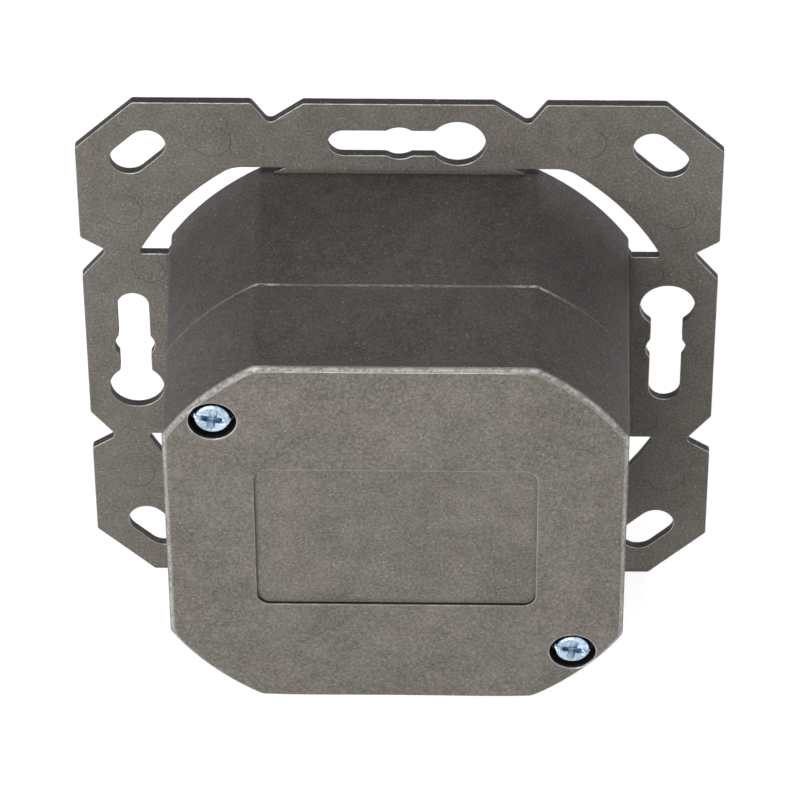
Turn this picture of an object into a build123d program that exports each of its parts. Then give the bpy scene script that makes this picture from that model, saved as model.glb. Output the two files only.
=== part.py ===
from build123d import *
import math
import os

# Twin shielded network outlet for a 60 mm wall box, seen from behind in its plaster-depth form.
# Origin: centre of the frame's rear face, which bears on the wall. +Y points into the wall,
# -Y into the room, +Z up. Lengths are in millimetres.

# Keyhole slots for the wall box screws
box_screw_spacing = 60.0
keyhole_width = 3.55
keyhole_tail = 7.8
keyhole_head_offset = 6.4
keyhole_head_d = 6.15
keyhole_neck_radius = 0.5
detent_d = 4.5
detent_radius = 0.6

# Mounting frame, a margin wider than the screws' spacing on every side
frame_margin = 5.5
frame_thick = 1.0
frame_corner_cut = 6.5
frame_edge_radius = 0.5
notch_outer = 16.1
notch_vertex = 14.15
notch_inner = 10.4
notch_depth = 2.9
notch_radius = 0.7
frame_size = box_screw_spacing + 2 * frame_margin

# Slanted slots in the frame's corners
corner_slot_inset_x = 6.85
corner_slot_inset_z = 7.0
corner_slot_length = 7.0
corner_slot_width = 4.2

# Drafted body, which clears the wall box screws; each draft is the narrowing over its whole depth
body_side_gap = 4.6
body_top_gap = 4.3
body_corner_gap = 0.2
body_side_draft = 0.4
body_top_draft = 0.8
body_corner_draft = 0.7
body_edge_radius = 1.5
body_depth = 31.0
seam_depth = 18.0
seam_chamfer = 0.2
wall = 1.5
front_plate_thick = 1.5
lip_height = 1.0
lip_thick = 0.7
lip_clearance = 0.1
body_half_w = box_screw_spacing / 2 - body_side_gap
body_half_h = box_screw_spacing / 2 - body_top_gap
body_corner_r = box_screw_spacing / 2 - body_corner_gap
plate_rear = front_plate_thick - frame_thick

# Curved openings that run along the body's corners
crescent_gap = 2.4
crescent_overlap = 0.6
crescent_top_step = 0.75
crescent_low = 13.7
crescent_low_corner_r = 0.4
crescent_high_corner_r = 3.5
crescent_outer_r = body_corner_r + crescent_gap
crescent_high = body_half_h + crescent_top_step

# Small screws, all of one thread
screw_d = 2.5
screw_head_d = 4.2
screw_head_h = 1.6
hex_across = 4.0
cross_width = 0.7
cross_span = 2.6
cross_depth = 0.9
cross_turn = 10.0
driver_slot_w = 0.55
driver_slot_depth = 0.45
thread_clearance = 0.05
clearance_hole_d = 2.9
board_screw_length = 6.0
clamp_screw_length = 8.0
hole_spare_depth = 1.0

# Rear cover
cover_plate_thick = 1.8
cover_edge_chamfer = 0.5
panel_w = 30.6
panel_h = 20.3
panel_depth = 0.45
panel_radius = 1.5

# Cover screws, on one diagonal
cover_screw_inset_x = 5.5
cover_screw_inset_z = 7.6
cover_boss_r = 3.2
cover_pillar_r = 3.6
counterbore_d = 5.2
head_below_face = 0.5
cover_screw_engagement = 8.9
cover_screw_bevel = 0.4
cover_screw_x = body_half_w - body_side_draft - cover_screw_inset_x
cover_screw_z = body_half_h - body_top_draft - cover_screw_inset_z
cover_screw_seat = body_depth - head_below_face - screw_head_h

# Circuit board and the posts that carry it
board_depth = 11.0
board_thick = 1.6
board_side_gap = 1.9
board_top_margin = 3.9
board_tail_margin = 2.76
board_corner_r = 1.0
post_inset = 2.5
post_z = 10.5
post_r = 2.4
pin_d = 2.0
pin_clearance = 0.1
boss_notch_clearance = 0.5
tail_hole_w = 0.8
tail_out = 0.8
board_half_w = body_half_w - wall - board_side_gap
board_rear = board_depth + board_thick
post_x = board_half_w - post_inset

# Jack shield
shield_thick = 0.3
shield_clearance = 0.05
shield_leg_start = 11.5
shield_leg_end = 13.2
shield_leg_root = 1.0
side_spring_length = 8.0
side_spring_h = 3.6
side_spring_bow = 0.35

# Jack block on the front of the housing
pocket_clearance = 0.2
block_wall = 1.4
block_mullion = 1.4
block_edge_radius = 1.0
face_opening_margin = 0.45
centre_boss_r = 3.0
centre_screw_d = 3.0
centre_hole_depth = 5.4

# Network jacks: outside, tilt from the horizontal, plug cavity and the insert below it
jack_w = 15.2
jack_h = 12.4
jack_length = 15.0
jack_tilt = 30.0
jack_face_z = -10.0
jack_board_gap = 0.3
jack_roof = 0.4
jack_floor = 0.3
port_w = 11.9
key_w = 6.3
key_h = 1.6
latch_w = 3.3
latch_h = 0.7
insert_h = 2.5
insert_start = 1.2
insert_clearance = 0.1
insert_rear_wall = 1.6
floor_window_w = 9.4
floor_window_start = 4.0
jack_pitch = jack_w + 2 * (shield_thick + pocket_clearance) + block_mullion
port_low = jack_floor + insert_h - jack_h / 2
port_high = jack_h / 2 - jack_roof - key_h - latch_h
port_depth = jack_length - insert_rear_wall - 4 * insert_clearance
pocket_half_h = jack_h / 2 + shield_thick + pocket_clearance
block_front = -pocket_clearance - block_wall

# Jack contacts
contact_count = 8
contact_pitch = 1.02
contact_w = 0.45
contact_thick = 0.35
contact_groove_clearance = 0.12
contact_sink = 1.3
contact_rise = 2.5
contact_bend_a = 2.4
contact_tip_a = 9.6
tail_row_drop = 0.2
tail_row_step = 2.54
contact_level = port_low - contact_sink
contact_tip_b = port_low + contact_rise
tail_row_z = jack_face_z - tail_row_drop

# Insulation displacement blocks
idc_length = 18.0
idc_w = 13.0
idc_h = 9.4
idc_base_h = 2.6
idc_row_w = 5.0
idc_tail_gap = 1.8
idc_per_row = 4
idc_pitch = 4.2
wire_slot_w = 0.9
wire_slot_depth = 5.0
blade_w = 2.6
blade_thick = 0.5
blade_clearance = 0.1
blade_slit_w = 0.4
blade_slit_depth = 4.0
blade_below_top = 0.8
blade_tail_w = 0.6
idc_centre_z = tail_row_z + idc_tail_gap + idc_length / 2

# Cable entries, cradles and the clamp that holds both cables
cable_entry_r = 4.1
cradle_r = 3.9
cradle_inset = 5.1
cradle_thick = 1.6
clamp_post_r = 2.3
clamp_post_drop = 0.5
clamp_thick = 1.2
clamp_w = 4.0
clamp_screw_gap = 0.1
cradle_z = cradle_inset - body_half_h
cable_entry_x = cradle_r + clamp_thick + clamp_screw_gap + hex_across / 2
clamp_post_x = 2 * cable_entry_x
clamp_seat = seam_depth - clamp_post_drop

# Insulating film glued inside the rear cover
film_thick = 0.25
film_edge_gap = 0.9
film_pillar_gap = 0.4

SIDES = {"left": -1, "right": 1}
TILT = math.radians(jack_tilt)


def behind(depth):
    """Plane seen from behind at this depth: local x runs to -X, local y up, normal into the wall."""
    return Plane(origin=(0, depth, 0), x_dir=(-1, 0, 0), z_dir=(0, 1, 0))


def prism(sketch, start, end):
    """The sketch, drawn as seen from behind, as a solid from one depth to another."""
    return extrude(behind(start) * sketch, end - start)


def rod(x, z, radius, start, end):
    """Round bar along the depth, given in the part's own X and Z."""
    return prism(Pos(-x, z) * Circle(radius), start, end)


def eight_sided(radius):
    """Octagon round a circle of this radius, for hidden posts and holes, which keeps their faces few."""
    return RegularPolygon(radius, 8, major_radius=False)


def post(x, z, radius, start, end):
    """Eight-sided bar along the depth, given in the part's own X and Z."""
    return prism(Pos(-x, z) * eight_sided(radius), start, end)


def jack_face_y():
    """Depth of a jack's face, set so that its lowest rear corner stands just short of the board."""
    length = 2 * shield_thick + jack_length + 2 * shield_clearance
    reach = length * math.cos(TILT) + (jack_h / 2 + shield_clearance) * math.sin(TILT)
    return board_depth - jack_board_gap - reach


def jack_plane(side):
    """Local frame of a jack: x to -X, y towards the latch side, z into the jack."""
    return Plane(
        origin=(side * jack_pitch / 2, jack_face_y(), jack_face_z),
        x_dir=(-1, 0, 0),
        z_dir=(0, math.cos(TILT), math.sin(TILT)),
    )


def jack_point(a, b):
    """Depth and height of the point at a along a jack and b across it, towards its latch side."""
    depth = jack_face_y() + a * math.cos(TILT) - b * math.sin(TILT)
    height = jack_face_z + a * math.sin(TILT) + b * math.cos(TILT)
    return depth, height


def cut_box(x_size, y_low, y_high, z_low, z_high):
    """Box centred on x, between limits in y and z, in whatever frame it is then placed."""
    size = (x_size, y_high - y_low, z_high - z_low)
    centre = (0, (y_low + y_high) / 2, (z_low + z_high) / 2)
    return Pos(*centre) * Box(*size)


def along_x(points, x_low, x_high):
    """Prism along X from an outline of (depth, height) points."""
    face = make_face(Polyline([(x_low, y, z) for y, z in points], close=True))
    return extrude(face, x_high - x_low, dir=(1, 0, 0))


def strip(points, thick):
    """Outline of a strip of this thickness along a polyline, mitred at its bends."""
    normals = []
    for (y0, z0), (y1, z1) in zip(points, points[1:]):
        length = math.hypot(y1 - y0, z1 - z0)
        normals.append((-(z1 - z0) / length, (y1 - y0) / length))
    near, far = [], []
    for i, (y, z) in enumerate(points):
        before = normals[max(i - 1, 0)]
        after = normals[min(i, len(normals) - 1)]
        mean = (before[0] + after[0], before[1] + after[1])
        scale = thick / (1 + before[0] * after[0] + before[1] * after[1]) / 2
        near.append((y + mean[0] * scale, z + mean[1] * scale))
        far.append((y - mean[0] * scale, z - mean[1] * scale))
    return near + far[::-1]


def body_outline(depth, inset=0.0):
    """Body cross-section at a depth: a square cut by a circle, both drafted, moved in by inset.

    Only the outer form has its creases rounded.
    """
    share = depth / body_depth
    half_w = body_half_w - body_side_draft * share - inset
    half_h = body_half_h - body_top_draft * share - inset
    corner_r = body_corner_r - body_corner_draft * share - inset
    outline = Rectangle(2 * half_w, 2 * half_h) & Circle(corner_r)
    if inset:
        return outline
    return fillet(outline.vertices(), body_edge_radius)


def body_form(start, end, inset=0.0):
    """The drafted body's solid between two depths, moved in by inset."""
    sections = [behind(depth) * body_outline(depth, inset) for depth in (start, end)]
    return loft(sections, ruled=True)


def frame_outline():
    """Square plate outline with cut corners and two slanted notches on each side."""
    half = frame_size / 2
    corner = half - frame_corner_cut
    floor = half - notch_depth
    side = [(-corner, half), (-notch_outer, half), (-notch_vertex, floor), (-notch_inner, half)]
    side += [(-x, y) for x, y in side[::-1]]
    points = []
    for quarter in range(4):
        turn = -math.pi / 2 * quarter
        cos, sin = math.cos(turn), math.sin(turn)
        points += [(x * cos - y * sin, x * sin + y * cos) for x, y in side]
    outline = make_face(Polyline(points, close=True))
    reach = half - notch_depth / 2
    floors = [v for v in outline.vertices() if max(abs(v.X), abs(v.Y)) < reach]
    outline = fillet(floors, notch_radius)
    others = [v for v in outline.vertices() if max(abs(v.X), abs(v.Y)) > half - 0.01]
    return fillet(others, frame_edge_radius)


def keyhole():
    """Slot along x with a round end, a detent on its screw's centre and a round head at +x."""
    tail = keyhole_tail - keyhole_width / 2
    span = tail + keyhole_head_offset
    slot = Pos(span / 2 - tail, 0) * Rectangle(span, keyhole_width)
    slot += Pos(-tail, 0) * Circle(keyhole_width / 2)
    slot += Circle(detent_d / 2)
    slot += Pos(keyhole_head_offset, 0) * Circle(keyhole_head_d / 2)
    on_edge = [v for v in slot.vertices() if abs(abs(v.Y) - keyhole_width / 2) < keyhole_width / 100]
    neck = [v for v in on_edge if v.X > detent_d / 2]
    detent = [v for v in on_edge if abs(v.X) < detent_d / 2]
    slot = fillet(neck, keyhole_neck_radius)
    detent = [slot.vertices().sort_by_distance((v.X, v.Y, 0))[0] for v in detent]
    return fillet(detent, detent_radius)


def keyholes():
    """The four keyholes, as seen from behind: heads to the right, up, down and to the left."""
    reach = box_screw_spacing / 2
    top = Pos(0, reach) * keyhole()
    bottom = Pos(0, -reach) * Rot(0, 0, 180) * keyhole()
    right = Pos(reach, 0) * Rot(0, 0, 90) * keyhole()
    left = Pos(-reach, 0) * Rot(0, 0, -90) * keyhole()
    return top + bottom + right + left


def corner_slots():
    """One slot at each corner, along the cut corner."""
    reach_x = frame_size / 2 - corner_slot_inset_x
    reach_z = frame_size / 2 - corner_slot_inset_z
    slots = Sketch()
    for x_way in (-1, 1):
        for z_way in (-1, 1):
            slot = SlotOverall(corner_slot_length, corner_slot_width)
            place = Pos(x_way * reach_x, z_way * reach_z) * Rot(0, 0, -45 * x_way * z_way)
            slots += place * slot
    return slots


def crescents():
    """Four curved openings whose inner side is the body's own wall, fused in later."""
    band_h = crescent_high - crescent_low
    band_z = (crescent_high + crescent_low) / 2
    openings = Sketch()
    for x_way in (-1, 1):
        for z_way in (-1, 1):
            ring = Circle(crescent_outer_r) - Circle(body_corner_r - crescent_overlap)
            window = Pos(x_way * crescent_outer_r / 2, z_way * band_z) * Rectangle(crescent_outer_r, band_h)
            piece = ring & window
            low, high = piece.vertices().sort_by(lambda v: v.X**2 + v.Y**2)[-2:].sort_by(lambda v: abs(v.Y))
            piece = fillet(low, crescent_low_corner_r)
            high = piece.vertices().sort_by_distance((high.X, high.Y, 0))[0]
            openings += fillet(high, crescent_high_corner_r)
    return openings


def hex_screw(x, z, seat, length):
    """Six-sided screw along the depth, its head standing towards +Y from its seat, two flats upright."""
    outline = Pos(-x, z) * RegularPolygon(hex_across / 2, 6, major_radius=False, rotation=30)
    return prism(outline, seat, seat + screw_head_h) + rod(x, z, screw_d / 2, seat - length, seat)


def cross_screw(x, z, seat, length):
    """Screw with a cross recess and a driver slot, its bevelled head standing towards +Y from its seat."""
    head = rod(x, z, screw_head_d / 2, seat, seat + screw_head_h)
    rim = head.faces().sort_by(Axis.Y)[-1].edges()
    head = chamfer(rim, cover_screw_bevel)
    arm = Rectangle(cross_span, cross_width)
    cross = arm + Rot(0, 0, 90) * arm
    top = seat + screw_head_h
    place = Pos(-x, z) * Rot(0, 0, -cross_turn)
    recess = prism(place * cross, top - cross_depth, top)
    slot = prism(place * Rectangle(screw_head_d, driver_slot_w), top - driver_slot_depth, top)
    return head + rod(x, z, screw_d / 2, seat - length, seat) - recess - slot


def cover_screw_places():
    """X and Z of the two cover screws."""
    return [(cover_screw_x, cover_screw_z), (-cover_screw_x, -cover_screw_z)]


def threaded_r():
    """Radius of a tapped hole for the small screws."""
    return screw_d / 2 + thread_clearance


def clamp_post_places():
    """X of the three clamp posts, one between the cables and one outside each."""
    return [-clamp_post_x, 0, clamp_post_x]


def jack_block():
    """Slanted block that holds both jacks, with the boss for the centre plate's screw on its roof."""
    half_w = jack_pitch / 2 + jack_w / 2 + shield_thick + pocket_clearance + block_wall
    outer_b = pocket_half_h + block_wall
    outline = [
        jack_point(block_front, -outer_b),
        jack_point(block_front, outer_b),
        jack_point(jack_length, outer_b),
        jack_point(jack_length, -outer_b),
    ]
    block = along_x(outline, -half_w, half_w)
    upper_edge = block.edges().group_by(Axis.Y)[0]
    lower_edge = block.edges().group_by(Axis.Z)[0]
    block = fillet(upper_edge + lower_edge, block_edge_radius)
    room_side = Pos(0, plate_rear - frame_size / 2, 0) * Box(frame_size, frame_size, frame_size)
    return (block & room_side) + rod(0, 0, centre_boss_r, block_top(), 0)


def block_top():
    """Depth of the block's edge that stands furthest into the room."""
    return jack_point(block_front, pocket_half_h + block_wall)[0]


def jack_pockets():
    """Room for each shielded jack, and the port openings in the block's face."""
    width = jack_w + 2 * (shield_thick + pocket_clearance)
    pockets = Part()
    for side in SIDES.values():
        pocket = cut_box(width, -pocket_half_h, pocket_half_h, -pocket_clearance, 2 * jack_length)
        pockets += jack_plane(side) * pocket
        opening = extrude(port_outline(face_opening_margin), 2 * block_wall)
        pockets += jack_plane(side) * Pos(0, 0, -2 * block_wall + pocket_clearance) * opening
    return pockets


def port_outline(margin=0.0):
    """Mouth of a jack: the plug's rectangle with the stepped latch keyway above it."""
    height = port_high - port_low
    mouth = Pos(0, (port_high + port_low) / 2) * Rectangle(port_w + 2 * margin, height + 2 * margin)
    key = Pos(0, port_high + key_h / 2) * Rectangle(key_w + 2 * margin, key_h + 2 * margin)
    latch_top = key_h + latch_h / 2
    latch = Pos(0, port_high + latch_top) * Rectangle(latch_w + 2 * margin, latch_h + 2 * margin)
    return mouth + key + latch


def cable_cradle():
    """Rib with a half-round seat for each cable, between the posts for the clamp screws."""
    size = (2 * clamp_post_x, clamp_seat - plate_rear, cradle_thick)
    rib = Pos(0, (plate_rear + clamp_seat) / 2, cradle_z) * Box(*size)
    posts = Part()
    for x in clamp_post_places():
        posts += post(x, cradle_z, clamp_post_r, plate_rear, clamp_seat)
    for side in SIDES.values():
        rib -= Pos(side * cable_entry_x, seam_depth, cradle_z) * Cylinder(cradle_r, 2 * clamp_w)
    holes = Part()
    for x in clamp_post_places():
        bottom = clamp_seat - clamp_screw_length - hole_spare_depth
        holes += post(x, cradle_z, threaded_r(), bottom, clamp_seat)
    return rib + posts - holes


def cable_entries():
    """Round entries through the bottom wall, centred on the seam."""
    entries = Part()
    bottom = -body_half_h
    for side in SIDES.values():
        entries += Pos(side * cable_entry_x, seam_depth, bottom) * Cylinder(cable_entry_r, 4 * wall)
    return entries


def board_posts():
    """Four posts for the board: two tapped for its screws, two with a locating pin."""
    posts = Part()
    for x, z in board_screw_places():
        hole = post(x, z, threaded_r(), board_depth - board_screw_length - hole_spare_depth, board_depth)
        posts += post(x, z, post_r, plate_rear, board_depth) - hole
    for x, z in board_pin_places():
        posts += post(x, z, post_r, plate_rear, board_depth)
        posts += post(x, z, pin_d / 2, board_depth, board_rear)
    return posts


def board_screw_places():
    """X and Z of the board's two screws, on the diagonal that the cover screws leave free."""
    return [(-post_x, post_z), (post_x, -post_z)]


def board_pin_places():
    """X and Z of the board's two locating pins."""
    return [(post_x, post_z), (-post_x, -post_z)]


def front_housing():
    """One zinc casting: mounting frame, front half of the body, jack block, posts and bosses."""
    plate = prism(frame_outline() - keyholes() - corner_slots() - crescents(), -frame_thick, 0)
    outer = body_form(-frame_thick, seam_depth)
    seam_edges = outer.faces().sort_by(Axis.Y)[-1].edges()
    outer = chamfer(seam_edges, seam_chamfer)
    lip_inset = wall - lip_thick + lip_clearance
    lip = body_form(seam_depth - lip_height, seam_depth + lip_height, lip_inset)
    shell = outer + lip - body_form(plate_rear, seam_depth + lip_height, wall)
    for x, z in cover_screw_places():
        shell -= post(x, z, cover_pillar_r + lip_clearance, seam_depth, body_depth)
        shell += post(x, z, cover_boss_r, plate_rear, seam_depth) & body_form(0, seam_depth, wall / 4)
        bottom = seam_depth - cover_screw_engagement - hole_spare_depth
        shell -= post(x, z, threaded_r(), bottom, seam_depth)
    housing = plate + shell + jack_block() - jack_pockets()
    housing -= rod(0, 0, centre_screw_d / 2, block_top(), block_top() + centre_hole_depth)
    housing += board_posts() + cable_cradle()
    return housing - cable_entries()


def rear_cover():
    """Deep cast hood with a shallow bare panel, counterbored pillars and half of each cable entry."""
    outer = body_form(seam_depth, body_depth)
    rear_edges = outer.faces().sort_by(Axis.Y)[-1].edges()
    outer = chamfer(rear_edges, cover_edge_chamfer)
    seam_edges = outer.faces().sort_by(Axis.Y)[0].edges()
    outer = chamfer(seam_edges, seam_chamfer)
    cavity = body_form(seam_depth, body_depth - cover_plate_thick, wall)
    rebate = body_form(seam_depth, seam_depth + lip_height + lip_clearance, wall - lip_thick)
    cover = outer - cavity - rebate
    for x, z in cover_screw_places():
        pillar = post(x, z, cover_pillar_r, seam_depth, body_depth - cover_plate_thick)
        cover += pillar & body_form(seam_depth, body_depth, wall / 4)
        cover -= post(x, z, clearance_hole_d / 2, seam_depth, body_depth)
        cover -= rod(x, z, counterbore_d / 2, cover_screw_seat, body_depth)
    panel = RectangleRounded(panel_w, panel_h, panel_radius)
    cover -= prism(panel, body_depth - panel_depth, body_depth)
    return cover - cable_entries()


def cover_screws():
    """The two screws that hold the rear cover."""
    seat = cover_screw_seat
    length = seat - seam_depth + cover_screw_engagement
    return [cross_screw(x, z, seat, length) for x, z in cover_screw_places()]


def contact_x(side, index):
    """X of a jack contact."""
    return side * jack_pitch / 2 + (index - (contact_count - 1) / 2) * contact_pitch


def tail_z(index):
    """Height of a jack contact's tail: the tails stand in two staggered rows."""
    return tail_row_z - tail_row_step * (index % 2)


def blade_places(side):
    """X and Z of one block's eight blades."""
    row_x = (idc_w - idc_row_w) / 2
    middle = (idc_per_row - 1) / 2
    places = []
    for way in (-1, 1):
        for step in range(idc_per_row):
            places.append((side * jack_pitch / 2 + way * row_x, idc_centre_z + (step - middle) * idc_pitch))
    return places


def circuit_board():
    """Board with holes for its screws, pins, jack tails, shield legs and blades."""
    top = idc_centre_z + idc_length / 2 + board_top_margin
    bottom = tail_row_z - tail_row_step - board_tail_margin
    outline = Pos(0, (top + bottom) / 2) * RectangleRounded(2 * board_half_w, top - bottom, board_corner_r)
    for x, z in cover_screw_places():
        outline -= Pos(-x, z) * eight_sided(cover_boss_r + boss_notch_clearance)
    for x, z in board_screw_places():
        outline -= Pos(-x, z) * eight_sided(clearance_hole_d / 2)
    for x, z in board_pin_places():
        outline -= Pos(-x, z) * eight_sided(pin_d / 2 + pin_clearance)
    tail_hole = Rectangle(tail_hole_w, tail_hole_w)
    for side in SIDES.values():
        for index in range(contact_count):
            outline -= Pos(-contact_x(side, index), tail_z(index)) * tail_hole
        for x, z in blade_places(side):
            outline -= Pos(-x, z) * tail_hole
        for x, z_low, z_high in shield_legs(side):
            slot_w = shield_thick + 2 * pin_clearance
            slot_h = z_high - z_low + 2 * pin_clearance
            outline -= Pos(-x, (z_low + z_high) / 2) * Rectangle(slot_w, slot_h)
    return prism(outline, board_depth, board_rear)


def board_screws():
    """The two screws that hold the board to its posts."""
    return [hex_screw(x, z, board_rear, board_screw_length + board_thick) for x, z in board_screw_places()]


def jack_housing(side):
    """Moulded jack body: plug cavity with keyway, slot for the insert, window for the tails."""
    start = shield_thick + shield_clearance
    end = start + jack_length
    body = cut_box(jack_w, -jack_h / 2, jack_h / 2, start, end)
    body -= Pos(0, 0, start) * extrude(port_outline(), port_depth)
    slot_low = port_low - insert_h
    body -= cut_box(port_w, slot_low, port_low, start + insert_start, end)
    rear_start = end - insert_rear_wall - 2 * insert_clearance
    body -= cut_box(port_w, slot_low, port_high, rear_start, end)
    body -= cut_box(floor_window_w, -jack_h / 2, slot_low, start + floor_window_start, end)
    return jack_plane(side) * body


def contact_path(index):
    """Bent wire of one contact, from its tail behind the board to its free tip in the plug cavity."""
    z = tail_z(index)
    run_start = (z - jack_point(0, contact_level)[1]) / math.sin(TILT)
    return [
        (board_rear + tail_out, z),
        jack_point(run_start, contact_level),
        jack_point(contact_bend_a, contact_level),
        jack_point(contact_bend_a - contact_thick, contact_level + 2 * contact_thick),
        jack_point(contact_bend_a + contact_thick, contact_level + 4 * contact_thick),
        jack_point(contact_tip_a, contact_tip_b),
    ]


def jack_insert(side):
    """Moulded comb that carries the contacts: grooved floor and rear wall."""
    start = shield_thick + shield_clearance
    end = start + jack_length
    width = port_w - 2 * insert_clearance
    low = port_low - insert_h + insert_clearance
    floor = cut_box(width, low, port_low, start + insert_start + insert_clearance, end)
    wall_start = end - insert_rear_wall
    rear = cut_box(width, port_low, port_high - insert_clearance, wall_start, end)
    comb = jack_plane(side) * (floor + rear)
    for index in range(contact_count):
        half = contact_w / 2 + contact_groove_clearance
        x = contact_x(side, index)
        groove = strip(contact_path(index), contact_thick + 2 * contact_groove_clearance)
        comb -= along_x(groove, x - half, x + half)
        mouth_low = contact_level - contact_thick / 2 - contact_groove_clearance
        mouth = cut_box(2 * half, mouth_low, port_low, 0, contact_tip_a)
        comb -= jack_plane(side) * Pos(side * jack_pitch / 2 - x, 0, 0) * mouth
    return comb


def jack_contacts(side):
    """The eight bent contacts of one jack."""
    half = contact_w / 2
    contacts = []
    for index in range(contact_count):
        x = contact_x(side, index)
        contacts.append(along_x(strip(contact_path(index), contact_thick), x - half, x + half))
    return contacts


def shield_legs(side):
    """X, lowest Z and highest Z of a shield's two board legs."""
    reach = jack_w / 2 + shield_clearance + shield_thick / 2
    z_low = jack_point(shield_leg_start, -jack_h / 2)[1]
    z_high = jack_point(shield_leg_end, -jack_h / 2)[1]
    return [(side * jack_pitch / 2 + way * reach, z_low, z_high) for way in (-1, 1)]


def jack_shield(side):
    """Folded sheet round the jack: face with the port opening, top, sides and back, with two legs."""
    inner_w = jack_w + 2 * shield_clearance
    inner_h = jack_h / 2 + shield_clearance
    inner_end = shield_thick + jack_length + 2 * shield_clearance
    outer_w = inner_w + 2 * shield_thick
    outer = cut_box(outer_w, -inner_h, inner_h + shield_thick, 0, inner_end + shield_thick)
    outer -= cut_box(inner_w, -inner_h, inner_h, shield_thick, inner_end)
    outer -= extrude(port_outline(), shield_thick)
    spring_start = port_w / 2
    outline = [
        (spring_start + shield_thick, 0),
        (spring_start + shield_thick, shield_thick),
        (spring_start - shield_clearance, shield_thick),
        (spring_start - side_spring_bow, side_spring_length / 2),
        (spring_start - shield_thick, side_spring_length),
        (spring_start - 2 * shield_thick, side_spring_length),
        (spring_start - side_spring_bow - shield_thick, side_spring_length / 2),
        (spring_start - shield_thick, 0),
    ]
    for way in (-1, 1):
        low = (port_low + port_high - side_spring_h) / 2
        points = [(way * x, low, a) for x, a in outline]
        spring = extrude(make_face(Polyline(points, close=True)), side_spring_h, dir=(0, 1, 0))
        outer += spring
    shield = jack_plane(side) * outer
    for x, z_low, z_high in shield_legs(side):
        root = jack_point(shield_leg_start, -inner_h)[0] - shield_leg_root
        tip = board_rear + tail_out
        leg = [(root, z_low), (tip, z_low), (tip, z_high), (root, z_high)]
        shield += along_x(leg, x - shield_thick / 2, x + shield_thick / 2)
    return shield


def idc_block(side):
    """Moulded block with two rows of wire slots and a pocket for each blade."""
    centre = Pos(-side * jack_pitch / 2, idc_centre_z)
    row_shift = (idc_w - idc_row_w) / 2
    top = board_rear + idc_h
    block = prism(centre * Rectangle(idc_w, idc_length), board_rear, board_rear + idc_base_h)
    for way in (-1, 1):
        row = prism(centre * Pos(way * row_shift, 0) * Rectangle(idc_row_w, idc_length), board_rear, top)
        edges = row.faces().sort_by(Axis.Y)[-1].edges().filter_by(Axis.Z)
        block += chamfer(edges, idc_row_w / 4)
    for x, z in blade_places(side):
        block -= prism(Pos(-x, z) * Rectangle(idc_row_w, wire_slot_w), top - wire_slot_depth, top)
        pocket = Rectangle(blade_thick + 2 * blade_clearance, blade_w + 2 * blade_clearance)
        block -= prism(Pos(-x, z) * pocket, board_rear, top)
    return block


def idc_contacts(side):
    """Forked blades, each with a tapering slit for its wire and a tail through the board."""
    bottom = board_rear + idc_base_h / 2 + blade_clearance
    top = board_rear + idc_h - blade_below_top
    slit = top - blade_slit_depth
    tail_end = board_depth - tail_out / 2
    blades = []
    for x, z in blade_places(side):
        outline = [
            (top, z - blade_w / 2),
            (top, z - blade_slit_w),
            (slit, z - blade_slit_w / 2),
            (slit, z + blade_slit_w / 2),
            (top, z + blade_slit_w),
            (top, z + blade_w / 2),
            (bottom, z + blade_w / 2),
            (bottom, z + blade_tail_w / 2),
            (tail_end, z + blade_tail_w / 2),
            (tail_end, z - blade_tail_w / 2),
            (bottom, z - blade_tail_w / 2),
            (bottom, z - blade_w / 2),
        ]
        blades.append(along_x(outline, x - blade_thick / 2, x + blade_thick / 2))
    return blades


def cable_clamp():
    """Bent steel strap over both cables, with an ear on each of the three posts."""
    low = -clamp_post_drop
    bar = Pos(0, low + clamp_thick / 2) * Rectangle(2 * clamp_post_x + clamp_w, clamp_thick)
    upper = Pos(0, low + frame_size / 2) * Rectangle(frame_size, frame_size)
    cables = Sketch()
    for side in SIDES.values():
        bar += (Pos(side * cable_entry_x, 0) * Circle(cradle_r + clamp_thick)) & upper
        cables += Pos(side * cable_entry_x, 0) * Circle(cradle_r)
    level = Plane(origin=(0, seam_depth, cradle_z - clamp_w / 2), x_dir=(1, 0, 0), z_dir=(0, 0, 1))
    clamp = extrude(level * (bar - cables), clamp_w)
    ends = clamp.edges().filter_by(Axis.Y).group_by(Axis.X)
    clamp = chamfer(ends[0] + ends[-1], clamp_w / 4)
    for x in clamp_post_places():
        clamp -= post(x, cradle_z, clearance_hole_d / 2, clamp_seat, clamp_seat + clamp_thick)
    return clamp


def clamp_screws():
    """The three screws that pull the cable clamp down."""
    seat = clamp_seat + clamp_thick
    return [hex_screw(x, cradle_z, seat, clamp_screw_length) for x in clamp_post_places()]


def insulating_film():
    """Thin sheet on the inside of the rear cover, cut round its pillars."""
    outline = body_outline(body_depth, wall + film_edge_gap)
    for x, z in cover_screw_places():
        outline -= Pos(-x, z) * eight_sided(cover_pillar_r + film_pillar_gap)
    inside = body_depth - cover_plate_thick
    return prism(outline, inside - film_thick, inside)


def write(node, shape):
    """Save one sub-part, a single solid or a group of separate ones, under its own name."""
    if isinstance(shape, list):
        shape = Compound(children=shape)
    export_step(shape, f"parts/{node}.step")


os.makedirs("parts", exist_ok=True)
write("front_housing", front_housing())
write("rear_cover", rear_cover())
write("cover_screws", cover_screws())
write("circuit_board", circuit_board())
write("board_screws", board_screws())
for name, way in SIDES.items():
    write(f"{name}_jack_housing", jack_housing(way))
    write(f"{name}_jack_insert", jack_insert(way))
    write(f"{name}_jack_contacts", jack_contacts(way))
    write(f"{name}_jack_shield", jack_shield(way))
    write(f"{name}_idc_block", idc_block(way))
    write(f"{name}_idc_contacts", idc_contacts(way))
write("cable_clamp", cable_clamp())
write("clamp_screws", clamp_screws())
write("insulating_film", insulating_film())
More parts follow.
